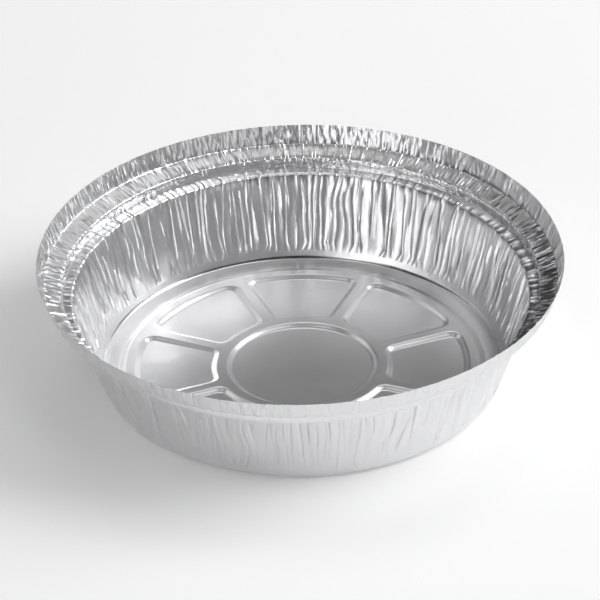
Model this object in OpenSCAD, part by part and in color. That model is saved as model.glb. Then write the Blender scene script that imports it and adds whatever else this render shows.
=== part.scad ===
// Round foil baking pan, pressed from one disc of thin aluminium foil.
// The disc is drawn into a cup: its floor is embossed with a recessed centre disc and a ring of
// recessed panels, its wall gathers into standing crinkles, and its rim is a stacking step, a sloping
// ledge and an upright skirt that folds down over a lid.
// The sheet is built as one closed skin: every point of its upper face has a partner on the lower
// face, one foil thickness along the surface normal.
// Millimetres, +Z up. The origin is the centre of the resting face.

/* [Overall] */
// Diameter over the top edge of the skirt
top_d = 230; // [210:1:250]
// Height from the resting face to the top edge of the skirt
pan_h = 56; // [50:1:62]
// Diameter of the base, where the line of the wall meets the resting plane
base_d = 178.6; // [168:0.2:184]
// Thickness of the foil
foil_t = 0.09; // [0.07:0.01:0.14]

/* [Rim] */
// Height of the upright skirt
skirt_h = 8.3; // [6:0.1:10]
// How far the skirt leans outward over its height
skirt_lean = 2.8; // [1:0.1:4]
// Width of the ledge at the foot of the skirt
ledge_w = 7.6; // [5:0.1:9]
// How far the ledge drops towards the middle
ledge_drop = 3; // [1:0.1:4]
// Height of the stacking step under the ledge
step_h = 4.9; // [3:0.1:6]
// How far the stacking step leans inward
step_lean = 0.8; // [0.4:0.1:1.5]
// Width of the narrow shelf under the stacking step
shelf_w = 3.8; // [2:0.1:5]
// How far the shelf drops towards the middle
shelf_drop = 0.5; // [0:0.1:1]

/* [Wall] */
// Height of the creased heel where the wall turns into the base
heel_h = 1.8; // [1.2:0.1:2.4]
// Distance of the heel inside the line of the wall at the resting plane
heel_in = 0.9; // [0.5:0.1:1.4]
// Width of the sloping band between the heel and the foot channel
heel_w = 6; // [4:0.5:7]
// Share of the wall's height, from its top, where the crinkles are fullest
full_at = 0.24; // [0.15:0.01:0.35]
// Share of the wall's height, from its top, where the crinkles start to fade
fade_at = 0.75; // [0.6:0.01:0.85]

/* [Crinkles] */
// Crinkles round each panel's share of the wall
folds_per_panel = 18; // [9:3:18]
// Height of a full wall crinkle, from valley to crest
wall_fold = 1.3; // [0.4:0.05:1.6]
// Height of a pleat in the ledge and its stacking step
ledge_fold = 0.55; // [0.2:0.05:0.8]
// Height of a pleat at the top edge of the skirt
edge_fold = 0.2; // [0.1:0.05:0.4]
// Largest sideways wander of a crinkle, as a share of half its pitch
wander = 0.42; // [0:0.02:0.45]
// Seed that sets the irregular run of the crinkles
fold_seed = 11; // [1:1:99]

/* [Floor] */
// Number of recessed panels round the floor
panels = 8; // [6:1:10]
// Depth of the recessed panels and disc under the ribs
emboss_h = 1.2; // [0.6:0.1:1.8]
// Width of the sloping side round each recess
slope_w = 3; // [2:0.1:3.6]
// Diameter of the recessed centre disc at its upper edge
disc_d = 67; // [56:1:76]
// Width of the flat ring round the centre disc
ring_w = 4; // [3:0.1:6]
// Width of the flat top of each rib between two panels
rib_w = 4; // [3:0.1:6]
// Width of the flat border outside the panels
border_w = 4; // [3:0.1:6]
// Width of the flat foot channel inside the sloping band
foot_w = 1.5; // [1:0.1:2.5]
// Width of the slope from the foot channel up to the border
rise_w = 2.6; // [2:0.1:3.5]
// Radius of the panels' corners at their upper edge
panel_r = 5.5; // [4.5:0.1:7]
// Turn of the panel pattern about the middle of the pan
panel_turn = -0.7; // [-20:0.1:20]

/* [Hidden] */
foil_colour = "silver";
// Points round the pan: two to a crinkle, and a third as many on the smooth base
fine_n = 2 * panels * folds_per_panel;
smooth_step = 3;
base_n = fine_n / smooth_step;
arc_steps = base_n / panels;
half_arc = arc_steps / 2;
disc_steps = 4;
disc_n = panels * disc_steps;
// Segments of a panel's corner, of its outer arc and of its inner arc
bend_steps = 3;
outer_steps = 4;
inner_steps = 2;
// Half the angle from rib to rib
half_turn = 180 / panels;
// Least and greatest share of its full height that a crinkle takes, and the share of the wall's
// height where it turns smooth
least_fold = 0.3;
greatest_fold = 1;
smooth_share = 0.95;

// Profile of the upper face, as radius and height, from the top edge to the foot channel
top_r = top_d / 2;
base_r = base_d / 2;
ledge_r = top_r - skirt_lean;
ledge_z = pan_h - skirt_h;
step_r = ledge_r - ledge_w;
step_z = ledge_z - ledge_drop;
shelf_r = step_r - step_lean;
shelf_z = step_z - step_h;
wall_r = shelf_r - shelf_w;
wall_z = shelf_z - shelf_drop;
heel_r = base_r - heel_in;
band_r = heel_r - heel_w;
foot_r = band_r - foot_w;
floor_z = foil_t;
rib_z = floor_z + emboss_h;
border_r = foot_r - rise_w;
panel_out_r = border_r - border_w;
disc_r = disc_d / 2;
panel_in_r = disc_r + ring_w;

function mix(a, b, t) = a + (b - a) * t;
function wall_at(share) = [mix(wall_r, heel_r, share), mix(wall_z, heel_h, share)];

crinkled = [
    [top_r, pan_h],
    [ledge_r, ledge_z],
    [step_r, step_z],
    [shelf_r, shelf_z],
    [wall_r, wall_z],
    wall_at(full_at),
    wall_at(fade_at)
];
smooth = [
    wall_at(smooth_share),
    [heel_r, heel_h],
    [band_r, floor_z],
    [foot_r, floor_z],
    [border_r, rib_z]
];
profile = concat(crinkled, smooth);
crinkled_rows = len(crinkled);
rows = len(profile);
// Half the height of the crinkles in each row of the crinkled part
row_fold = [
    edge_fold / 2,
    ledge_fold / 2,
    ledge_fold / 2,
    ledge_fold / 2,
    mix(ledge_fold, wall_fold, 1 / 2) / 2,
    wall_fold / 2,
    wall_fold / 3
];

// Unit vector along b - a, and the same vector turned to the outside of the pan
function heading(a, b) = (b - a) / norm(b - a);
function outside(v) = [-v[1], v[0]];
function unit(v) = v / norm(v);
function row_normal(k) =
    let (
        before = k > 0 ? outside(heading(profile[k - 1], profile[k])) : undef,
        after = k < rows - 1 ? outside(heading(profile[k], profile[k + 1])) : undef
    )
    k == 0 ? after
        : k >= rows - 2 ? [0, -1]
        : unit(before + after) / max(sqrt((1 + before * after) / 2), 1 / 2);
normals = [for (k = [0:rows - 1]) row_normal(k)];

// Irregular but repeatable strength and sideways wander of each crinkle point. The wall rows share
// theirs, so that a crinkle runs down the wall as one line.
strengths = rands(least_fold, greatest_fold, fine_n * crinkled_rows, fold_seed);
wanders = rands(-wander, wander, fine_n * crinkled_rows, fold_seed + 1);
wall_row = 4;
function fold_index(k, i) = i + fine_n * min(k, wall_row);
function fold_strength(k, i) =
    mix(strengths[fold_index(k, i)], strengths[i + fine_n * k], 1 / 3);
function fold_wander(k, i) =
    k == 0 ? 0 : mix(wanders[fold_index(k, i)], wanders[i + fine_n * k], 1 / 2);
function fold_side(i) = i % 2 == 0 ? 1 : -1;

// Point of a row on the upper face (depth 0) or on the lower face (depth foil_t)
function around(r, z, angle) = [r * cos(angle), r * sin(angle), z];
function row_point(k, angle, lift, depth) =
    let (p = profile[k] + normals[k] * (depth - lift))
    around(p[0], p[1], angle);
function crinkled_row(k, depth) = [
    for (i = [0:fine_n - 1])
        row_point(
            k,
            360 * (i + fold_wander(k, i)) / fine_n,
            row_fold[k] * fold_strength(k, i) * fold_side(i),
            depth
        )
];
function smooth_row(k, depth) = [
    for (j = [0:base_n - 1]) row_point(k, 360 * j / base_n + panel_turn, 0, depth)
];

// Outline of one recessed panel about its own middle line, drawn in by inset from its upper edge.
// Its corners keep their centres, so each point of one outline faces the same point of the next.
corner_side = rib_w / 2 + panel_r;
out_centre_r = panel_out_r - panel_r;
in_centre_r = panel_in_r + panel_r;
out_centre_a = half_turn - asin(corner_side / out_centre_r);
in_centre_a = half_turn - asin(corner_side / in_centre_r);
side_a = half_turn + 90;
function polar(r, angle) = [r * cos(angle), r * sin(angle)];
function bend(centre, r, from, to) = [
    for (s = [0:bend_steps]) centre + polar(r, mix(from, to, s / bend_steps))
];
function arc_between(r, from, to, steps) = [
    for (s = [1:1:steps - 1]) polar(r, mix(from, to, s / steps))
];
function panel_outer(inset) = concat(
    bend(polar(out_centre_r, -out_centre_a), panel_r - inset, -side_a, -out_centre_a),
    arc_between(panel_out_r - inset, -out_centre_a, out_centre_a, outer_steps),
    bend(polar(out_centre_r, out_centre_a), panel_r - inset, out_centre_a, side_a)
);
function panel_inner(inset) = concat(
    bend(polar(in_centre_r, -in_centre_a), panel_r - inset, -side_a, -180 - in_centre_a),
    arc_between(panel_in_r + inset, -in_centre_a, in_centre_a, inner_steps),
    bend(polar(in_centre_r, in_centre_a), panel_r - inset, 180 + in_centre_a, side_a)
);
function turned(points, angle, z) = [
    for (p = points)
        [p[0] * cos(angle) - p[1] * sin(angle), p[0] * sin(angle) + p[1] * cos(angle), z]
];
outer_n = len(panel_outer(0));
inner_n = len(panel_inner(0));
panel_n = outer_n + inner_n;
function panel_angle(s) = s * 2 * half_turn + panel_turn;
function panel_ring(inset, z) = [
    for (s = [0:panels - 1])
        each turned(concat(panel_outer(inset), panel_inner(inset)), panel_angle(s), z)
];
function disc_ring(r, z) = [
    for (j = [0:disc_n - 1]) around(r, z, 360 * j / disc_n + panel_turn - half_turn)
];

// All points of one face of the sheet, and where each group of them starts
function face_points(depth) = concat(
    [for (k = [0:crinkled_rows - 1]) each crinkled_row(k, depth)],
    [for (k = [crinkled_rows:rows - 1]) each smooth_row(k, depth)],
    panel_ring(0, rib_z - depth),
    panel_ring(slope_w, floor_z - depth),
    disc_ring(disc_r, rib_z - depth),
    disc_ring(disc_r - slope_w, floor_z - depth)
);
smooth_at = crinkled_rows * fine_n;
border_at = smooth_at + (rows - 1 - crinkled_rows) * base_n;
panel_top_at = border_at + base_n;
panel_low_at = panel_top_at + panels * panel_n;
disc_top_at = panel_low_at + panels * panel_n;
disc_low_at = disc_top_at + disc_n;
face_n = disc_low_at + disc_n;

// Two triangles for each step between two closed rows of n points
function band(upper, lower, n) = [
    for (i = [0:n - 1])
        let (next = (i + 1) % n)
        each [
            [upper + i, upper + next, lower + i],
            [upper + next, lower + next, lower + i]
        ]
];
// The same from a fine row to a coarse row with step fine points to each coarse one
function taper(fine, coarse, n, step) = [
    for (j = [0:n - 1])
        let (next = (j + 1) % n, half = floor(step / 2))
        each concat(
            [
                for (s = [0:step - 1])
                    let (a = fine + j * step + s, b = fine + (j * step + s + 1) % (n * step))
                    [a, b, coarse + (s <= half ? j : next)]
            ],
            [[fine + j * step + half + 1, coarse + next, coarse + j]]
        )
];
// Triangles between two open runs of points, stepping along whichever is behind
function lace(a, b, i = 0, j = 0) =
    let (na = len(a) - 1, nb = len(b) - 1)
    i == na && j == nb ? []
        : j == nb || (i < na && (i + 1) / na <= (j + 1) / nb)
            ? concat([[a[i], a[i + 1], b[j]]], lace(a, b, i + 1, j))
            : concat([[a[i], b[j + 1], b[j]]], lace(a, b, i, j + 1));
function run(from, count) = [for (i = [0:count - 1]) from + i];
function loop_run(at, n, from, steps) = [for (i = [0:steps]) at + (from + i + n) % n];

// Flat ribs, rings and panels of one share of the floor
function floor_share(s) =
    let (
        top = panel_top_at + s * panel_n,
        low = panel_low_at + s * panel_n,
        border = loop_run(border_at, base_n, s * arc_steps - half_arc, arc_steps),
        disc = loop_run(disc_top_at, disc_n, s * disc_steps, disc_steps),
        top_out = run(top, outer_n),
        top_in = run(top + outer_n, inner_n),
        low_out = run(low, outer_n),
        low_in = run(low + outer_n, inner_n)
    )
    concat(
        lace(border, top_out),
        lace(top_in, disc),
        lace(low_out, low_in),
        [for (i = [0:outer_n - 2]) each facing(top_out, low_out, i)],
        [for (i = [0:inner_n - 2]) each facing(low_in, top_in, i)],
        [
            [border[0], top_out[0], top_in[0]],
            [border[0], top_in[0], disc[0]],
            [border[arc_steps], disc[disc_steps], top_in[inner_n - 1]],
            [border[arc_steps], top_in[inner_n - 1], top_out[outer_n - 1]],
            [top_out[0], low_out[0], low_in[0]],
            [top_out[0], low_in[0], top_in[0]],
            [top_out[outer_n - 1], low_in[inner_n - 1], low_out[outer_n - 1]],
            [top_out[outer_n - 1], top_in[inner_n - 1], low_in[inner_n - 1]]
        ]
    );
function facing(upper, lower, i) = [
    [upper[i], upper[i + 1], lower[i]],
    [upper[i + 1], lower[i + 1], lower[i]]
];

// All triangles of the sheet, as the lower face shows them and turned over for the upper face
skin = concat(
    [for (k = [0:crinkled_rows - 2]) each band(k * fine_n, (k + 1) * fine_n, fine_n)],
    taper(smooth_at - fine_n, smooth_at, base_n, smooth_step),
    [
        for (k = [0:rows - 2 - crinkled_rows])
            each band(smooth_at + k * base_n, smooth_at + (k + 1) * base_n, base_n)
    ],
    [for (s = [0:panels - 1]) each floor_share(s)],
    band(disc_top_at, disc_low_at, disc_n),
    [[for (j = [0:disc_n - 1]) disc_low_at + j]]
);
function reversed(list) = [for (i = [len(list) - 1:-1:0]) list[i]];
upper_faces = [for (f = skin) reversed(f)];
lower_faces = [for (f = skin) [for (i = f) i + face_n]];
edge_faces = band(0, face_n, fine_n);

module foil_pan()
{
    color(foil_colour)
        polyhedron(
            points = concat(face_points(0), face_points(foil_t)),
            faces = concat(upper_faces, lower_faces, edge_faces),
            convexity = 8
        );
}

foil_pan();
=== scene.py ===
"""Round foil baking pan, pressed from one sheet of thin aluminium.

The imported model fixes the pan's size and place. This script stands one finely crinkled sheet in for its
single solid, gives the sheet a rolled foil finish, and adds a plain pale floor, soft lamps and a camera.
"""

import logging
import math
from collections.abc import Iterable
from dataclasses import dataclass
from enum import Enum
from typing import Any

import bmesh
import bpy
import numpy as np
from mathutils import Matrix, Vector


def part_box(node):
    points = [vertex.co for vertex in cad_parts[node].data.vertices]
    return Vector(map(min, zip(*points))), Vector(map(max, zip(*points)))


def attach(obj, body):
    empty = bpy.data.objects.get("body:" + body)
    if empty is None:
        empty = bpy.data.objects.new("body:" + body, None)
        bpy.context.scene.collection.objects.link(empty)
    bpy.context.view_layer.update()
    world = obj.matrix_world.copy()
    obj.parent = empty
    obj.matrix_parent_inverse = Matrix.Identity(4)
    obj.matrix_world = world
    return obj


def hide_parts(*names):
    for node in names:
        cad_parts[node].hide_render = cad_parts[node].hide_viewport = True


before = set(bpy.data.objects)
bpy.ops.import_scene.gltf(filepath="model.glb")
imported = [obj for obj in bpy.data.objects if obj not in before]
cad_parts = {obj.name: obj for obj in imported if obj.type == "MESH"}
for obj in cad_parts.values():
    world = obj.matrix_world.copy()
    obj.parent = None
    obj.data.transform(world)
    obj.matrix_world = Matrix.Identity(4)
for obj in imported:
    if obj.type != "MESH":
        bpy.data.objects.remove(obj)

LOG = logging.getLogger("foil_pan")
NODE = "foil_pan"
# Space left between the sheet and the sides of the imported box, in metres. Half as much is left on top.
MARGIN = 0.0004


class Corner(Enum):
    """Corners of the pan's section, in order from the cut edge to the raised border of the floor."""

    CUT_EDGE = "cut edge"
    SKIRT_FOOT = "foot of the skirt"
    LEDGE_END = "inner edge of the ledge"
    STEP_FOOT = "foot of the stacking step"
    SHELF_END = "inner edge of the shelf"
    WALL_FOOT = "start of the wall's foot"
    HEEL = "heel"
    CREASE = "foot of the creased heel"
    CHANNEL_OUT = "outer edge of the foot channel"
    CHANNEL_IN = "inner edge of the foot channel"
    BORDER_EDGE = "outer edge of the raised border"
    FLOOR_JOIN = "circle where the embossed floor begins"


class Socket:
    """One output of a shader node that plain Python operators work on."""

    def __init__(self, graph: "Graph", output: bpy.types.NodeSocket) -> None:
        """Keeps the output and the graph that new nodes go into.

        Args:
            graph: The material that holds the node.
            output: The node's output.
        """
        self.graph = graph
        self.output = output

    def __add__(self, other: "Socket | float") -> "Socket":
        """Sum with a number or a socket."""
        return self.graph.math("ADD", self, other)

    __radd__ = __add__

    def __mul__(self, other: "Socket | float") -> "Socket":
        """Product with a number or a socket."""
        return self.graph.math("MULTIPLY", self, other)

    __rmul__ = __mul__

    def __sub__(self, other: "Socket | float") -> "Socket":
        """Difference, socket first."""
        return self.graph.math("SUBTRACT", self, other)

    def __rsub__(self, other: "Socket | float") -> "Socket":
        """Difference, number first."""
        return self.graph.math("SUBTRACT", other, self)

    def __truediv__(self, other: "Socket | float") -> "Socket":
        """Quotient, socket first."""
        return self.graph.math("DIVIDE", self, other)

    def __rtruediv__(self, other: "Socket | float") -> "Socket":
        """Quotient, number first."""
        return self.graph.math("DIVIDE", other, self)

    def __abs__(self) -> "Socket":
        """Size without sign."""
        return self.graph.math("ABSOLUTE", self)


class Graph:
    """The node tree of one material or of the world."""

    def __init__(self, tree: bpy.types.NodeTree) -> None:
        """Takes a tree and empties it.

        Args:
            tree: The node tree to fill.
        """
        self.tree = tree
        self.tree.nodes.clear()

    def node(self, kind: str, settings: dict[str, Any] | None = None, **inputs: Any) -> bpy.types.Node:
        """Adds a node, sets its options and then its inputs.

        Args:
            kind: The node's type, without its ShaderNode prefix.
            settings: Options of the node itself.
            **inputs: Values or sockets by input name, with underscores for spaces, or by number as "i0".

        Returns:
            The new node.
        """
        made = self.tree.nodes.new("ShaderNode" + kind)
        for name, value in (settings or {}).items():
            setattr(made, name, value)
        for name, value in inputs.items():
            numbered = name[0] == "i" and name[1:].isdigit()
            key = int(name[1:]) if numbered else name.replace("_", " ")
            self.feed(made.inputs[key], value)
        return made

    def feed(self, entry: bpy.types.NodeSocket, value: Any) -> None:
        """Links a socket to an input, or sets the input to a plain value.

        Args:
            entry: The input.
            value: A Socket, or the value.
        """
        if isinstance(value, Socket):
            self.tree.links.new(value.output, entry)
        else:
            entry.default_value = value

    def out(self, node: bpy.types.Node, name: str | int = 0) -> Socket:
        """One output of a node."""
        return Socket(self, node.outputs[name])

    def math(self, operation: str, *values: Socket | float) -> Socket:
        """Adds a Math node.

        Args:
            operation: The node's operation.
            *values: Its inputs, in order.

        Returns:
            Its result.
        """
        entries = {f"i{place}": value for place, value in enumerate(values)}
        return self.out(self.node("Math", {"operation": operation}, **entries))

    def ease(self, value: Socket, low: float, high: float) -> Socket:
        """Smooth step from 0 at low to 1 at high.

        Args:
            value: The socket to map.
            low: Where the step starts.
            high: Where it ends.

        Returns:
            The step.
        """
        settings = {"interpolation_type": "SMOOTHSTEP"}
        return self.out(self.node("MapRange", settings, Value=value, From_Min=low, From_Max=high))

    def vector(self, x: Socket, y: Socket, z: Socket) -> Socket:
        """Joins three values into a vector."""
        return self.out(self.node("CombineXYZ", X=x, Y=y, Z=z))

    def noise(self, place: Socket, scale: float, detail: float = 2.0, rough: float = 0.5) -> Socket:
        """Adds a Noise Texture.

        Args:
            place: Where it is read.
            scale: Its scale.
            detail: Its number of octaves.
            rough: How strong the finer octaves are.

        Returns:
            Its factor, about 0.5 on average.
        """
        made = self.node("TexNoise", Vector=place, Scale=scale, Detail=detail, Roughness=rough)
        return self.out(made)


def ease(value: np.ndarray, low: float, high: float) -> np.ndarray:
    """Smooth step from 0 at low to 1 at high.

    Args:
        value: Where it is read.
        low: Where the step starts.
        high: Where it ends.

    Returns:
        The step.
    """
    share = np.clip((value - low) / (high - low), 0.0, 1.0)
    return share * share * (3.0 - 2.0 * share)


@dataclass(frozen=True)
class Section:
    """Half section of the sheet's upper face, in metres, from the cut edge to the floor's border.

    Skirt, ledge, stacking step, shelf, wall, heel, foot channel and border follow each other on the way
    down and in. A pitch is the distance between two rows of points, and points nearer to each other than
    the row guard are in one row. The section is spun in a number of steps, and each step of the creased
    part is divided into columns.
    """

    rim_radius: float
    height: float
    foil: float = 0.00009
    skirt_height: float = 0.0083
    skirt_lean: float = 0.0028
    ledge_width: float = 0.0076
    ledge_drop: float = 0.0030
    step_height: float = 0.0052
    step_lean: float = 0.0001
    shelf_width: float = 0.0045
    shelf_drop: float = 0.0006
    base_radius: float = 0.0893
    corner_setback: float = 0.0069
    foot_inset: float = 0.0002
    foot_height: float = 0.0044
    heel_inset: float = 0.0010
    heel_height: float = 0.0024
    crease_width: float = 0.0007
    crease_height: float = 0.0012
    smooth_foot: float = 0.0006
    channel_width: float = 0.0018
    border_slope: float = 0.0026
    border_inset: float = 0.0010
    emboss: float = 0.0014
    wall_pitch: float = 0.0034
    rim_pitch: float = 0.0018
    row_guard: float = 0.00009
    spin_steps: int = 288
    columns_per_step: int = 4

    @property
    def corners(self) -> dict[Corner, tuple[float, float]]:
        """Works out the corners from the sizes.

        Returns:
            Radius and height of each corner.
        """
        skirt_foot = self.rim_radius - self.skirt_lean
        ledge_end = skirt_foot - self.ledge_width
        step_foot = ledge_end - self.step_lean
        skirt_z = self.height - self.skirt_height
        ledge_z = skirt_z - self.ledge_drop
        step_z = ledge_z - self.step_height
        border_z = self.foil + self.emboss
        heel = self.base_radius - self.heel_inset
        return {
            Corner.CUT_EDGE: (self.rim_radius, self.height),
            Corner.SKIRT_FOOT: (skirt_foot, skirt_z),
            Corner.LEDGE_END: (ledge_end, ledge_z),
            Corner.STEP_FOOT: (step_foot, step_z),
            Corner.SHELF_END: (step_foot - self.shelf_width, step_z - self.shelf_drop),
            Corner.WALL_FOOT: (self.base_radius - self.foot_inset, self.foot_height),
            Corner.HEEL: (heel, self.heel_height),
            Corner.CREASE: (heel - self.crease_width, self.crease_height),
            Corner.CHANNEL_OUT: (self.base_radius - self.corner_setback, self.foil),
            Corner.CHANNEL_IN: (self.border_radius + self.border_slope, self.foil),
            Corner.BORDER_EDGE: (self.border_radius, border_z),
            Corner.FLOOR_JOIN: (self.border_radius - self.border_inset, border_z),
        }

    @property
    def border_radius(self) -> float:
        """Outer edge of the raised border's flat top."""
        return self.base_radius - self.corner_setback - self.channel_width - self.border_slope

    @property
    def columns(self) -> int:
        """Number of columns round the creased part of the sheet."""
        return self.spin_steps * self.columns_per_step

    @property
    def bends(self) -> dict[Corner, tuple[float, int]]:
        """Lists the rounded corners.

        Returns:
            How far each is set back along its straights, and its number of segments.
        """
        return {
            Corner.SKIRT_FOOT: (0.0003, 2),
            Corner.LEDGE_END: (0.0004, 2),
            Corner.STEP_FOOT: (0.0004, 2),
            Corner.SHELF_END: (0.0007, 2),
            Corner.WALL_FOOT: (0.0008, 3),
            Corner.HEEL: (0.0002, 2),
            Corner.CREASE: (0.0003, 2),
            Corner.CHANNEL_OUT: (0.0012, 2),
            Corner.CHANNEL_IN: (0.0008, 3),
            Corner.BORDER_EDGE: (0.0006, 3),
        }

    def row_pitch(self, z: float) -> float:
        """Distance between rows of points at a height, wider on the wall than above it."""
        return self.wall_pitch if z < self.corners[Corner.SHELF_END][1] else self.rim_pitch


@dataclass(frozen=True)
class Line:
    """Points of a finished section: distance down it, radius and height."""

    section: Section
    points: np.ndarray

    def down_to(self, z: float) -> float:
        """Distance down the section to a height."""
        return float(np.interp(-z, -self.points[:, 2], self.points[:, 0]))

    @property
    def smooth_from(self) -> float:
        """Distance down the section to the smooth foot of the wall."""
        return self.down_to(self.section.foot_height + self.section.smooth_foot)

    def at(self, down: np.ndarray) -> tuple[np.ndarray, np.ndarray, np.ndarray, np.ndarray]:
        """Place and upper side of the section.

        Args:
            down: Distances down it.

        Returns:
            Radius, height, and the upper side's direction in radius and height.
        """
        run, radius, z = self.points.T
        inward = np.gradient(z, run)
        upward = -np.gradient(radius, run)
        size = np.hypot(inward, upward)
        return (
            np.interp(down, run, radius),
            np.interp(down, run, z),
            np.interp(down, run, inward / size),
            np.interp(down, run, upward / size),
        )


@dataclass(frozen=True)
class Pleats:
    """Run of pinched creases round one band of the pan.

    Each crease owns a few columns of the sheet: its crest, a foot on each side, and the flat up to its
    neighbour.

    Attributes:
        seed: Seed of every draw.
        count: Number of creases.
        height: Height of the boldest crest, in metres.
        width: Distance from a crest to each of its feet, in metres.
        lean: How far a crease runs sideways, in pitches.
        drift: How far neighbours wander together, in pitches.
        knots: Number of places down the band where each crease is drawn anew.
        strength: Share of the height by share of the way down.
        bold: How much the creases differ in height, from 0 to 1.
        outward: Height of the boldest crease that is pressed the other way, as a share.
        nudge: How far a crease stands from its even place, in pitches.
        tilt: Height of the feet, as a share of the crest's.
        belly: Depth of the hollows between creases, in metres.
        slim: Width of the flattest crease, as a share.
        breadths: Range of the width, as a share.
        hollows: Range of the hollows' depth, as a share.
        drift_knots: Number of places down the band where the drift is drawn anew.
        drift_reach: How many neighbours drift together.
        least: Least gap between neighbouring columns, as a share of an even one.
    """

    seed: int
    count: int
    height: float
    width: float
    lean: float
    drift: float
    knots: int
    strength: tuple[tuple[float, float], ...]
    bold: float = 0.5
    outward: float = 0.3
    nudge: float = 0.3
    tilt: float = 0.12
    belly: float = 0.0
    slim: float = 0.5
    breadths: tuple[float, float] = (0.7, 1.3)
    hollows: tuple[float, float] = (0.2, 1.0)
    drift_knots: int = 4
    drift_reach: float = 8.0
    least: float = 0.3

    def press(self, columns: int, share: np.ndarray, radius: np.ndarray) -> tuple[np.ndarray, np.ndarray]:
        """Lays the columns along the creases.

        Args:
            columns: Number of columns round the sheet.
            share: How far down the band each row lies, from 0 to 1.
            radius: Radius of each row.

        Returns:
            Angle and lift of every point, by row and column.
        """
        draw = np.random.default_rng(self.seed)
        own = columns // self.count
        reach = max(own // 4, 1)
        places, levels = zip(*self.strength)
        strength = np.interp(share, places, levels)[:, None]
        crest = self._crests(draw, share)
        swell = self._swell(draw, share)
        breadth = draw.uniform(*self.breadths, self.count) * (self.slim + (1.0 - self.slim) * np.abs(swell))
        half = self.width * breadth / radius[:, None]
        angles = np.stack([crest - half, crest, crest + half], axis=2).reshape(len(share), -1)
        ranks = np.arange(angles.shape[1]) * self.least * math.tau / columns
        angles = np.maximum.accumulate(angles - ranks, axis=1) + ranks
        feet = self.tilt * self.height * self._along(draw.normal(size=(self.knots, self.count, 2)), share)
        feet = feet * strength[:, :, None]
        tall = self.height * swell * strength
        lifts = np.stack([feet[..., 0], tall, feet[..., 1]], axis=2).reshape(len(share), -1)
        spots = (np.arange(self.count) * own + own // 2)[:, None] + reach * np.array([-1, 0, 1])
        lift = self._spread(columns, spots.ravel(), lifts, 0.0)
        lift -= self._hollow(draw, own, reach) * strength
        return self._spread(columns, spots.ravel(), angles, math.tau), lift

    def _crests(self, draw: np.random.Generator, share: np.ndarray) -> np.ndarray:
        """Draws the course of every crest.

        Args:
            draw: Source of chance.
            share: How far down the band each row lies.

        Returns:
            Angle by row and crease.
        """
        pitch = math.tau / self.count
        nudges = draw.uniform(-self.nudge, self.nudge, self.count)
        centre = (np.arange(self.count) + 0.5 + nudges) * pitch
        crest = centre + pitch * self.lean * (share[:, None] - 0.5) * draw.normal(size=self.count)
        return crest + pitch * self.drift * self._slow(draw, share)

    def _swell(self, draw: np.random.Generator, share: np.ndarray) -> np.ndarray:
        """Draws how boldly every crease stands up on its way down.

        Args:
            draw: Source of chance.
            share: How far down the band each row lies.

        Returns:
            Share of the full height, below 0 where it is pressed the other way, by row and crease.
        """
        weight = draw.uniform(0.0, 1.0, self.count) ** 2 * self.bold + 1.0 - self.bold
        return self._along(draw.uniform(-self.outward, 1.0, (self.knots, self.count)), share) * weight

    def _hollow(self, draw: np.random.Generator, own: int, reach: int) -> np.ndarray:
        """Draws the hollows between the creases.

        Args:
            draw: Source of chance.
            own: Number of columns that a crease owns.
            reach: Number of columns from its crest to each foot.

        Returns:
            Depth of every column.
        """
        place = (np.arange(own) - own // 2) % own
        round_bed = np.sin(math.pi * np.clip((place - reach) / max(own - 2 * reach, 1), 0.0, 1.0))
        depth = np.repeat(draw.uniform(*self.hollows, self.count), own)
        return self.belly * np.tile(round_bed, self.count) * depth

    def _along(self, values: np.ndarray, share: np.ndarray) -> np.ndarray:
        """Runs values given at even knots smoothly down the band.

        Args:
            values: Values, by knot.
            share: How far down the band each row lies.

        Returns:
            Values, by row.
        """
        place = np.clip(share, 0.0, 1.0) * (len(values) - 1)
        before = np.minimum(place.astype(int), len(values) - 2)
        part = ease(place - before, 0.0, 1.0).reshape(-1, *[1] * (values.ndim - 1))
        return values[before] * (1.0 - part) + values[before + 1] * part

    def _slow(self, draw: np.random.Generator, share: np.ndarray) -> np.ndarray:
        """Slow drift that neighbouring creases share.

        Args:
            draw: Source of chance.
            share: How far down the band each row lies.

        Returns:
            Drift by row and crease.
        """
        rough = draw.normal(size=(self.drift_knots, self.count))
        bins = np.fft.rfftfreq(self.count, 1.0 / self.count)
        fade = np.exp(-((bins * self.drift_reach / self.count) ** 2))
        smooth = np.fft.irfft(np.fft.rfft(rough, axis=1) * fade, self.count, axis=1)
        return self._along(smooth / smooth.std(), share)

    def _spread(self, columns: int, spots: np.ndarray, values: np.ndarray, turn: float) -> np.ndarray:
        """Fills in the columns between those that follow a crease.

        Args:
            columns: Number of columns.
            spots: Columns that have a value.
            values: Their values, by row.
            turn: What a value gains in one round of the pan.

        Returns:
            A value for every row and column.
        """
        every = np.arange(columns)
        around = np.concatenate([spots - columns, spots, spots + columns])
        rows = (np.concatenate([row - turn, row, row + turn]) for row in values)
        return np.array([np.interp(every, around, row) for row in rows])


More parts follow.
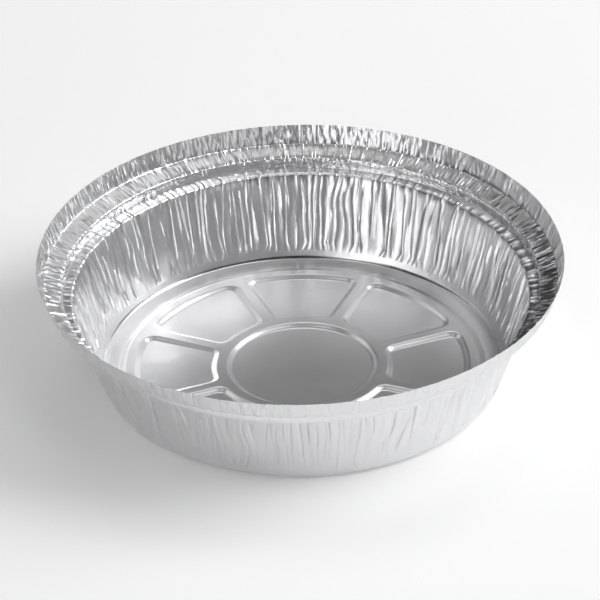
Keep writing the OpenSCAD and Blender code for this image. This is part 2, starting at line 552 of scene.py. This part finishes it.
@dataclass(frozen=True)
class Emboss:
    """Recessed panels and disc of the floor, in metres, with angles in radians.

    Attributes:
        border_radius: Outer edge of the raised border's flat top.
        z: Height of the floor's upper level.
        depth: Depth of the recesses below it.
        panels: Number of panels.
        turn: Bearing of the first panel's middle.
        disc_radius: Upper edge of the disc's slope.
        ring: Width of the raised ring between the disc and the panels.
        rib: Width of the raised ribs between the panels.
        border: Width of the raised border round the panels.
        slope: Width of the slope round each recess.
        corner: Radius of a panel's corners.
        guard: Width of the narrow flat at the top and at the foot of each slope.
        slope_steps: Number of rings in a slope.
        corner_steps: Number of segments in a panel's corner.
        arc_steps: Number of segments in half of a panel's outer side.
        disc_steps: Number of segments round the disc.
        softness: How much each slope is rounded, from 0 to 1.
    """

    border_radius: float
    z: float
    depth: float
    panels: int = 8
    turn: float = math.radians(-0.7)
    disc_radius: float = 0.0335
    ring: float = 0.004
    rib: float = 0.004
    border: float = 0.004
    slope: float = 0.0026
    corner: float = 0.0055
    guard: float = 0.0004
    slope_steps: int = 8
    corner_steps: int = 5
    arc_steps: int = 9
    disc_steps: int = 128
    softness: float = 0.65

    def stamp(self, bm: bmesh.types.BMesh) -> None:
        """Fills the open middle of a sheet with the embossed floor.

        Args:
            bm: Mesh whose innermost open edge is the floor's border circle.
        """
        rim = [edge for edge in bm.edges if edge.is_boundary and edge.verts[0].co.z < self.z + self.depth]
        before = set(bm.faces)
        self._sink(bm, self._panel(bm))
        panel = [face for face in bm.faces if face not in before]
        self._repeat(bm, panel)
        disc = bmesh.ops.create_circle(
            bm,
            cap_ends=True,
            radius=self.disc_radius + self.guard,
            segments=self.disc_steps,
            matrix=Matrix.Translation((0, 0, self.z)),
        )
        self._sink(bm, next(iter(disc["verts"][0].link_faces)))
        fresh = [edge for face in bm.faces if face not in before for edge in face.edges if edge.is_boundary]
        bmesh.ops.triangle_fill(bm, edges=rim + list(dict.fromkeys(fresh)), use_beauty=True, normal=(0, 0, 1))

    def _panel(self, bm: bmesh.types.BMesh) -> bmesh.types.BMFace:
        """Draws one panel's rounded outline about the X axis and fills it.

        Args:
            bm: Mesh to add it to.

        Returns:
            The panel's face.
        """
        side = math.pi / self.panels
        outer = self.border_radius - self.border + self.guard
        inner = self.disc_radius + self.ring - self.guard
        rounding = self.corner + self.guard
        gap = self.rib / 2 - self.guard + rounding
        outer_turn = side - math.asin(gap / (outer - rounding))
        inner_turn = side - math.asin(gap / (inner + rounding))
        outer_centre = self._spot(outer - rounding, outer_turn)
        inner_centre = self._spot(inner + rounding, inner_turn)
        square = side + math.pi / 2
        old = set(bm.verts)
        tip = bm.verts.new(self._spot(outer, 0))
        tip = self._sweep(bm, tip, self._spot(0, 0), outer_turn, self.arc_steps)
        tip = self._sweep(bm, tip, outer_centre, square - outer_turn, self.corner_steps)
        foot = bm.verts.new(inner_centre + self._spot(rounding, square) - self._spot(0, 0))
        bm.edges.new((tip, foot))
        tip = self._sweep(bm, foot, inner_centre, math.pi + inner_turn - square, self.corner_steps)
        self._sweep(bm, tip, self._spot(0, 0), -inner_turn, self.arc_steps // 2)
        half = [vert for vert in bm.verts if vert not in old]
        edges = list(dict.fromkeys(edge for vert in half for edge in vert.link_edges))
        bmesh.ops.mirror(bm, geom=half + edges, axis="Y", merge_dist=self.guard / 10)
        whole = [vert for vert in bm.verts if vert not in old]
        loop = list(dict.fromkeys(edge for vert in whole for edge in vert.link_edges))
        made = bmesh.ops.contextual_create(bm, geom=loop)["faces"][0]
        if made.normal.z < 0:
            made.normal_flip()
        return made

    def _spot(self, radius: float, bearing: float) -> Vector:
        """Point on the floor's upper level at a radius and a bearing."""
        return Vector((radius * math.cos(bearing), radius * math.sin(bearing), self.z))

    def _sweep(
        self, bm: bmesh.types.BMesh, tip: bmesh.types.BMVert, centre: Vector, angle: float, steps: int
    ) -> bmesh.types.BMVert:
        """Draws an arc on from a point.

        Args:
            bm: Mesh to draw in.
            tip: Point that the arc starts from.
            centre: Centre of the arc.
            angle: Angle that it turns through.
            steps: Number of its segments.

        Returns:
            The arc's last point.
        """
        swept = bmesh.ops.spin(bm, geom=[tip], cent=centre, axis=(0, 0, 1), angle=angle, steps=steps)
        return next(item for item in swept["geom_last"] if isinstance(item, bmesh.types.BMVert))

    def _sink(self, bm: bmesh.types.BMesh, face: bmesh.types.BMFace) -> None:
        """Presses a face down inside a rounded slope.

        Args:
            bm: Mesh that holds the face.
            face: Face to sink, from its outline inwards.
        """
        shares = np.linspace(0.0, 1.0, self.slope_steps + 1)
        depths = self.depth * (shares + self.softness * (ease(shares, 0.0, 1.0) - shares))
        step = self.slope / self.slope_steps
        rings = [(self.guard, 0.0), *((step, -float(drop)) for drop in np.diff(depths)), (self.guard, 0.0)]
        for thickness, depth in rings:
            bmesh.ops.inset_region(
                bm,
                faces=[face],
                thickness=thickness,
                depth=depth,
                use_even_offset=True,
                use_boundary=True,
            )

    def _repeat(self, bm: bmesh.types.BMesh, panel: list[bmesh.types.BMFace]) -> None:
        """Turns the panel into place and repeats it round the floor.

        Args:
            bm: Mesh that holds the panel.
            panel: The panel's faces.
        """
        pitch = math.tau / self.panels
        verts = list(dict.fromkeys(vert for face in panel for vert in face.verts))
        edges = list(dict.fromkeys(edge for face in panel for edge in face.edges))
        bmesh.ops.rotate(bm, verts=verts, matrix=Matrix.Rotation(self.turn, 3, "Z"))
        bmesh.ops.spin(
            bm,
            geom=verts + edges + panel,
            axis=(0, 0, 1),
            angle=math.tau - pitch,
            steps=self.panels - 1,
            use_duplicate=True,
        )


@dataclass(frozen=True)
class RolledFoil:
    """Bright rolled aluminium foil, crumpled finely where the sheet gathers.

    The heights at which something starts, ends or fades are in metres above the resting face, and a
    gloss is what it takes off the roughness.

    Attributes:
        colour: Colour of the metal.
        roughness: Roughness of the flat foil.
        gloss: Gloss of the gathered foil.
        crumple_from: Height at which the crumpling starts.
        crumple_to: Height from which it is full.
        crumple: Height of the crumples, in metres.
        crumple_scale: Scale of their pattern.
        crumple_sharpness: How steeply they fall away from their ridges.
        crumple_round: How densely they stand round the pan.
        crumple_down: How fast they change on their way down.
        rim_from: Height at which the rim's specks start.
        rim_fade: Height over which they grow.
        riser_from: Foot of the stacking step's riser.
        riser_to: Top of the riser.
        riser_fade: Height over which the riser's finish starts and ends.
        riser_gloss: Gloss of the riser.
        riser_speckle: Height of the riser's specks, in metres.
        heel_from: Radius at which the glossy line along the heel starts, in metres.
        heel_to: Height at which it ends.
        heel_fade: Distance over which it starts and ends, in metres.
        heel_gloss: Gloss of the line.
        speckle: Height of the rim's specks, in metres.
        speckle_scale: Scale of the specks.
        flat_wave: Height of the slow waves of the sheet, in metres.
        flat_wave_scale: Scale of the waves.
        marks: How much the rolling marks change the roughness.
        marks_grain: Scale of the marks along each axis.
        name: Name of the material.
    """

    colour: tuple[float, float, float, float] = (0.80, 0.80, 0.81, 1.0)
    roughness: float = 0.31
    gloss: float = 0.02
    crumple_from: float = 0.006
    crumple_to: float = 0.014
    crumple: float = 0.00008
    crumple_scale: float = 420.0
    crumple_sharpness: float = 4.0
    crumple_round: float = 0.1
    crumple_down: float = 0.16
    rim_from: float = 0.0375
    rim_fade: float = 0.002
    riser_from: float = 0.0399
    riser_to: float = 0.0443
    riser_fade: float = 0.0005
    riser_gloss: float = 0.07
    riser_speckle: float = 0.0003
    heel_from: float = 0.0875
    heel_to: float = 0.0023
    heel_fade: float = 0.0003
    heel_gloss: float = 0.08
    speckle: float = 0.00008
    speckle_scale: float = 480.0
    flat_wave: float = 0.0003
    flat_wave_scale: float = 45.0
    marks: float = 0.03
    marks_grain: tuple[float, float, float] = (900.0, 60.0, 200.0)
    name: str = "rolled_foil"

    def material(self) -> bpy.types.Material:
        """Makes the finish.

        Returns:
            The material.
        """
        made = bpy.data.materials.new(self.name)
        made.use_nodes = True
        graph = Graph(made.node_tree)
        place = graph.out(graph.node("TexCoord"), "Object")
        split = graph.node("SeparateXYZ", Vector=place)
        x, y, z = (graph.out(split, axis) for axis in "XYZ")
        radius = graph.math("SQRT", x * x + y * y)
        gathered = graph.ease(z, self.crumple_from, self.crumple_to)
        riser = self._strip(graph, z, self.riser_from, z, self.riser_to, self.riser_fade)
        heel = self._strip(graph, radius, self.heel_from, z, self.heel_to, self.heel_fade)
        height = self._crumples(graph, (x, y, z), radius) * gathered
        height = height + self._specks(graph, place, z, riser)
        height = height + graph.noise(place, self.flat_wave_scale) * self.flat_wave
        bump = graph.out(graph.node("Bump", Strength=1.0, Distance=1.0, Height=height))
        grain = (axis * size for axis, size in zip((x, y, z), self.marks_grain))
        marks = graph.noise(graph.vector(*grain), 1.0)
        roughness = self.roughness - gathered * self.gloss + (marks - 0.5) * self.marks
        roughness = roughness - riser * self.riser_gloss - heel * self.heel_gloss
        shader = graph.node(
            "BsdfPrincipled", Base_Color=self.colour, Metallic=1.0, Roughness=roughness, Normal=bump
        )
        graph.node("OutputMaterial", Surface=graph.out(shader))
        return made

    def _strip(
        self, graph: Graph, rising: Socket, low: float, falling: Socket, high: float, fade: float
    ) -> Socket:
        """Mask of a narrow strip of the sheet.

        Args:
            graph: The material's nodes.
            rising: Measure that the strip starts at.
            low: Where it starts.
            falling: Measure that the strip ends at.
            high: Where it ends.
            fade: How far it takes to start and to end.

        Returns:
            1 inside the strip and 0 outside it.
        """
        return graph.ease(rising, low, low + fade) * (1.0 - graph.ease(falling, high, high + fade))

    def _crumples(self, graph: Graph, axes: tuple[Socket, Socket, Socket], radius: Socket) -> Socket:
        """Fine creases that run down the wall and across the rim.

        Args:
            graph: The material's nodes.
            axes: Place on the sheet, axis by axis.
            radius: Distance from the middle of the pan.

        Returns:
            Their height.
        """
        x, y, z = axes
        turn = self.crumple_round
        down = z * self.crumple_down + radius * turn
        course = graph.vector(x / radius * turn, y / radius * turn, down)
        creases = graph.noise(course, self.crumple_scale, detail=3.0, rough=0.6)
        return (1.0 - abs(creases - 0.5) * self.crumple_sharpness) * self.crumple

    def _specks(self, graph: Graph, place: Socket, z: Socket, riser: Socket) -> Socket:
        """Fine specks of the rim, bolder on the riser.

        Args:
            graph: The material's nodes.
            place: Place on the sheet.
            z: Height.
            riser: Mask of the riser.

        Returns:
            Their height.
        """
        rim = graph.ease(z, self.rim_from, self.rim_from + self.rim_fade)
        specks = abs(graph.noise(place, self.speckle_scale, rough=0.6) - 0.5)
        return specks * (rim * self.speckle + riser * self.riser_speckle)


@dataclass(frozen=True)
class PressedSheet:
    """The whole pan as one crinkled, embossed sheet with the foil's thickness.

    Attributes:
        section: Half section of the sheet.
        finish: Finish of the foil.
        rim: Creases from the cut edge to the end of the shelf.
        wall: Creases from there to the smooth foot.
        calm_length: Length over which the creases fade above the smooth foot, in metres.
        wobble: Height of the largest wave of the rim's unevenness, in metres.
        wobble_seed: Seed of its draws.
        wobble_turns: Number of waves round the pan, one for each wave that adds to it.
        wobble_least: Height of the smallest wave, as a share.
        crease_angle: Angle from which an edge is shaded sharp, in radians.
        name: Name of the piece.
    """

    section: Section
    finish: RolledFoil
    rim: Pleats = Pleats(
        seed=13,
        count=384,
        height=0.00046,
        width=0.00040,
        lean=0.2,
        drift=0.05,
        knots=9,
        strength=(
            (0.0, 1.1),
            (0.12, 0.8),
            (0.3, 0.8),
            (0.36, 1.1),
            (0.6, 1.0),
            (0.65, 1.1),
            (0.7, 0.5),
            (1.0, 0.4),
        ),
        outward=0.7,
    )
    wall: Pleats = Pleats(
        seed=11,
        count=192,
        height=0.00125,
        width=0.00070,
        lean=0.55,
        drift=0.14,
        knots=4,
        strength=((0.0, 0.5), (0.15, 0.95), (1.0, 0.9)),
        outward=0.35,
        tilt=0.20,
        belly=0.00025,
    )
    calm_length: float = 0.0030
    wobble: float = 0.00006
    wobble_seed: int = 5
    wobble_turns: tuple[int, ...] = (2, 3, 5, 7, 11)
    wobble_least: float = 0.2
    crease_angle: float = math.radians(34)
    name: str = "crinkled_foil_sheet"

    def build(self) -> bpy.types.Object:
        """Models the sheet.

        Returns:
            The finished piece.
        """
        section = self.section
        bm = bmesh.new()
        down = bm.verts.layers.float.new("down")
        line = self._draw_section(bm, down)
        bmesh.ops.spin(
            bm,
            geom=bm.verts[:] + bm.edges[:],
            axis=(0, 0, 1),
            angle=math.tau,
            steps=section.spin_steps,
            use_merge=True,
        )
        rings = [
            edge
            for edge in bm.edges
            if abs(edge.verts[0][down] - edge.verts[1][down]) < section.row_guard
            and edge.verts[0][down] < line.smooth_from
        ]
        cuts = section.columns_per_step - 1
        bmesh.ops.subdivide_edges(bm, edges=rings, cuts=cuts, use_single_edge=True)
        self._crinkle(bm, down, line)
        floor_z = section.corners[Corner.FLOOR_JOIN][1]
        Emboss(border_radius=section.border_radius, z=floor_z, depth=section.emboss).stamp(bm)
        bmesh.ops.recalc_face_normals(bm, faces=bm.faces[:])
        if min(bm.faces, key=lambda face: face.calc_center_median().xy.length).normal.z < 0:
            bmesh.ops.reverse_faces(bm, faces=bm.faces[:])
        bmesh.ops.solidify(bm, geom=bm.faces[:], thickness=section.foil)
        mesh = bpy.data.meshes.new(self.name)
        bm.to_mesh(mesh)
        bm.free()
        mesh.shade_smooth()
        mesh.set_sharp_from_angle(angle=self.crease_angle)
        piece = bpy.data.objects.new(self.name, mesh)
        bpy.context.collection.objects.link(piece)
        return piece

    def _draw_section(self, bm: bmesh.types.BMesh, down: bmesh.types.BMLayerItem) -> Line:
        """Draws the half section as a chain of edges, rounds its bends and divides its straights.

        Args:
            bm: Empty mesh.
            down: Layer that takes each point's distance down the section.

        Returns:
            The finished line.
        """
        section = self.section
        corners = section.corners
        verts = {corner: bm.verts.new((radius, 0.0, z)) for corner, (radius, z) in corners.items()}
        chain = list(verts.values())
        for pair in zip(chain, chain[1:]):
            bm.edges.new(pair)
        for corner, (setback, segments) in section.bends.items():
            bmesh.ops.bevel(
                bm,
                geom=[verts[corner]],
                offset=setback,
                offset_type="OFFSET",
                segments=segments,
                profile=0.5,
                affect="VERTICES",
                material=-1,
            )
        for edge in bm.edges[:]:
            cuts = round(edge.calc_length() / section.row_pitch(edge.verts[0].co.z)) - 1
            if cuts > 0:
                bmesh.ops.subdivide_edges(bm, edges=[edge], cuts=cuts)
        vert = max(bm.verts, key=lambda item: item.co.z)
        points = [vert]
        edge = vert.link_edges[0]
        while edge is not None:
            after = edge.other_vert(vert)
            after[down] = vert[down] + edge.calc_length()
            points.append(after)
            edge = next((item for item in after.link_edges if item is not edge), None)
            vert = after
        return Line(section, np.array([(p[down], p.co.x, p.co.z) for p in points]))

    def _crinkle(self, bm: bmesh.types.BMesh, down: bmesh.types.BMLayerItem, line: Line) -> None:
        """Presses the creases into the spun sheet.

        Args:
            bm: The spun sheet.
            down: Layer with each point's distance down the section.
            line: The section that it was spun from.
        """
        section = self.section
        step = math.tau / section.columns
        rows = line.points[line.points[:, 0] < line.smooth_from, 0]
        angle, across, above = self._pressed(line, rows)
        for vert in bm.verts:
            row = int(np.searchsorted(rows, vert[down] - section.row_guard))
            if row < len(rows):
                column = round(math.atan2(vert.co.y, vert.co.x) / step) % section.columns
                bearing = angle[row, column]
                reach = across[row, column]
                vert.co = (reach * math.cos(bearing), reach * math.sin(bearing), above[row, column])

    def _pressed(self, line: Line, rows: np.ndarray) -> tuple[np.ndarray, np.ndarray, np.ndarray]:
        """Works out where the creased part of the sheet stands, from the rim down to the smooth foot.

        Args:
            line: The section.
            rows: Distance of each row of points down the section.

        Returns:
            Angle, radius and height of every point, by row and column.
        """
        columns = self.section.columns
        corners = self.section.corners
        radius, height, inward, upward = line.at(rows)
        step_top = line.down_to(corners[Corner.LEDGE_END][1])
        shelf_end = line.down_to(corners[Corner.SHELF_END][1])
        rim_angle, rim_lift = self.rim.press(columns, rows / shelf_end, radius)
        wall_share = (rows - shelf_end) / (line.smooth_from - shelf_end)
        wall_angle, wall_lift = self.wall.press(columns, wall_share, radius)
        wall_part = ease(rows, step_top, shelf_end)[:, None]
        calm = ease(rows, line.smooth_from - self.calm_length, line.smooth_from)[:, None]
        even = np.arange(columns) * (math.tau / columns)
        angle = rim_angle + (wall_angle - rim_angle) * wall_part
        angle += (even - angle) * calm
        lift = (rim_lift + (wall_lift - rim_lift) * wall_part) * (1.0 - calm)
        lift += self._wobble(angle) * (1.0 - ease(rows, 0.0, line.smooth_from))[:, None]
        return angle, radius[:, None] + inward[:, None] * lift, height[:, None] + upward[:, None] * lift

    def _wobble(self, angle: np.ndarray) -> np.ndarray:
        """Slow unevenness of the rim.

        Args:
            angle: Angles round the pan.

        Returns:
            How far the sheet stands in at each.
        """
        draw = np.random.default_rng(self.wobble_seed)
        sizes = self.wobble * draw.uniform(self.wobble_least, 1.0, len(self.wobble_turns))
        phases = draw.uniform(0.0, math.tau, len(self.wobble_turns))
        waves = zip(sizes, self.wobble_turns, phases)
        return sum(size * np.sin(turns * angle + phase) for size, turns, phase in waves)

    def dress(self, piece: bpy.types.Object) -> None:
        """Gives the sheet its finish."""
        piece.data.materials.append(self.finish.material())


def heading(bearing: float, elevation: float) -> Vector:
    """Direction at a bearing and an elevation, both in degrees."""
    turn, rise = math.radians(bearing), math.radians(elevation)
    return Vector((math.cos(rise) * math.cos(turn), math.cos(rise) * math.sin(turn), math.sin(rise)))


@dataclass(frozen=True)
class Softbox:
    """Square soft lamp that looks at the pan: angles in degrees, lengths in metres, power in watts."""

    name: str
    bearing: float
    elevation: float
    distance: float
    size: float
    power: float

    def build(self, target: Vector) -> None:
        """Hangs the lamp.

        Args:
            target: Point that it faces.
        """
        away = heading(self.bearing, self.elevation)
        lamp = bpy.data.lights.new(self.name, "AREA")
        lamp.shape = "SQUARE"
        lamp.size = self.size
        lamp.energy = self.power
        holder = bpy.data.objects.new(self.name, lamp)
        holder.location = target + away * self.distance
        holder.rotation_euler = away.to_track_quat("Z", "Y").to_euler()
        bpy.context.collection.objects.link(holder)


@dataclass(frozen=True)
class Glow:
    """Soft round patch of light in the studio's surroundings, with angles in degrees."""

    bearing: float
    elevation: float
    strength: float
    spread: float = 20.0

    def light(self, graph: Graph, direction: Socket) -> Socket:
        """Its light in every direction.

        Args:
            graph: The world's nodes.
            direction: Direction that is looked in.

        Returns:
            Its brightness.
        """
        axis = tuple(heading(self.bearing, self.elevation))
        facing = graph.node("VectorMath", {"operation": "DOT_PRODUCT"}, i0=direction, i1=axis)
        edge = math.cos(math.radians(self.spread))
        return graph.ease(graph.out(facing, "Value"), edge, 1.0) * self.strength


@dataclass(frozen=True)
class PaleFloor:
    """Matt finish that looks white in the view and in reflections and keeps the pan's shadow."""

    grey: float = 0.95
    own_light: float = 0.13
    rays: tuple[str, ...] = ("Is Glossy Ray", "Is Transmission Ray")
    name: str = "pale_floor"

    def material(self) -> bpy.types.Material:
        """Makes the finish.

        Returns:
            The material.
        """
        made = bpy.data.materials.new(self.name)
        made.use_nodes = True
        graph = Graph(made.node_tree)
        path = graph.node("LightPath")
        seen = graph.out(path, "Is Camera Ray")
        for ray in self.rays:
            seen = graph.math("MAXIMUM", seen, graph.out(path, ray))
        matte = graph.node("BsdfDiffuse", Color=(self.grey, self.grey, self.grey, 1.0))
        glow = graph.node("Emission", Color=(1.0, 1.0, 1.0, 1.0), Strength=seen * self.own_light)
        both = graph.node("AddShader", i0=graph.out(matte), i1=graph.out(glow))
        graph.node("OutputMaterial", Surface=graph.out(both))
        return made


@dataclass(frozen=True)
class Studio:
    """Pale floor, plain surroundings, soft lamps and the camera.

    Attributes:
        floor_radius: Radius of the floor, in metres.
        floor_sides: Number of sides of the floor.
        floor_finish: Finish of the floor.
        elevation: Height of the camera above the level, in degrees.
        roll: Turn of the camera about its own axis, in degrees.
        distance: Distance from the camera to the target, in metres.
        focal: Focal length, in pixels of the frame.
        frame_width: Width of the frame, in pixels.
        sensor: Width of the camera's sensor, in millimetres.
        far_clip: How far the camera sees, in metres.
        target: Point that the camera and the key lamp face.
        room: Brightness of the surroundings away from the patches of light.
        horizon: Height at which the white horizon has faded, on a sphere of radius 1.
        key: The lamp.
        fills: Patches of light.
    """

    floor_radius: float = 6.0
    floor_sides: int = 96
    floor_finish: PaleFloor = PaleFloor()
    elevation: float = 32.44
    roll: float = -1.14
    distance: float = 2.279
    focal: float = 5216.0
    frame_width: float = 600.0
    sensor: float = 36.0
    far_clip: float = 50.0
    target: tuple[float, float, float] = (-0.00045, 0.0, 0.03464)
    room: float = 0.01
    horizon: float = 0.06
    key: Softbox = Softbox("key_softbox", bearing=5.0, elevation=34.0, distance=3.2, size=2.2, power=85.0)
    fills: tuple[Glow, ...] = (
        Glow(bearing=300.0, elevation=4.0, strength=1.25),
        Glow(bearing=240.0, elevation=14.0, strength=2.00),
        Glow(bearing=62.0, elevation=20.0, strength=0.35),
        Glow(bearing=52.0, elevation=46.0, strength=0.80),
        Glow(bearing=150.0, elevation=42.0, strength=0.95),
        Glow(bearing=90.0, elevation=59.0, strength=1.42),
        Glow(bearing=225.0, elevation=59.0, strength=1.75),
        Glow(bearing=315.0, elevation=59.0, strength=1.95),
        Glow(bearing=90.0, elevation=71.0, strength=0.28, spread=26.0),
    )

    def build(self) -> None:
        """Sets up everything round the pan."""
        self._floor()
        self._surroundings()
        self.key.build(Vector(self.target))
        self._camera()

    def _floor(self) -> None:
        """Lays the floor."""
        bm = bmesh.new()
        bmesh.ops.create_circle(bm, cap_ends=True, radius=self.floor_radius, segments=self.floor_sides)
        mesh = bpy.data.meshes.new("pale_floor")
        bm.to_mesh(mesh)
        bm.free()
        floor = bpy.data.objects.new("pale_floor", mesh)
        bpy.context.collection.objects.link(floor)
        mesh.materials.append(self.floor_finish.material())

    def _surroundings(self) -> None:
        """Sets the plain studio round the pan: dim, with soft patches of light and a white horizon."""
        world = bpy.data.worlds.new("studio")
        bpy.context.scene.world = world
        world.use_nodes = True
        graph = Graph(world.node_tree)
        direction = graph.out(graph.node("TexCoord"), "Generated")
        up = graph.out(graph.node("SeparateXYZ", Vector=direction), "Z")
        light = self.room + (1.0 - graph.ease(up, 0.0, self.horizon)) * (1.0 - self.room)
        for glow in self.fills:
            light = light + glow.light(graph, direction)
        sky = graph.node("Background", Color=(1.0, 1.0, 1.0, 1.0), Strength=light)
        graph.node("OutputWorld", Surface=graph.out(sky))

    def _camera(self) -> None:
        """Places the camera at the photograph's angle."""
        elevation = math.radians(self.elevation)
        away = Vector((0.0, -math.cos(elevation), math.sin(elevation)))
        lens = bpy.data.cameras.new("camera")
        lens.sensor_width = self.sensor
        lens.lens = self.focal / self.frame_width * self.sensor
        lens.clip_end = self.far_clip
        camera = bpy.data.objects.new("camera", lens)
        turn = away.to_track_quat("Z", "Y").to_matrix() @ Matrix.Rotation(math.radians(self.roll), 3, "Z")
        spot = Vector(self.target) + away * self.distance
        camera.matrix_world = Matrix.Translation(spot) @ turn.to_4x4()
        bpy.context.collection.objects.link(camera)
        bpy.context.scene.camera = camera


def main() -> None:
    """Builds the sheet, dresses it and sets the studio."""
    logging.basicConfig(level=logging.INFO, format="%(name)s: %(message)s")
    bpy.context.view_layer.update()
    low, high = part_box(NODE)
    reach = min(high[0], high[1], -low[0], -low[1])
    section = Section(rim_radius=reach - MARGIN, height=high[2] - MARGIN / 2)
    sheet = PressedSheet(section, RolledFoil())
    piece = sheet.build()
    sheet.dress(piece)
    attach(piece, "root")
    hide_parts(NODE)
    LOG.info("%s: %d faces", piece.name, len(piece.data.polygons))
    Studio().build()
    bpy.context.scene.view_settings.view_transform = "Standard"
    bpy.context.view_layer.update()


if __name__ == "__main__":
    main()
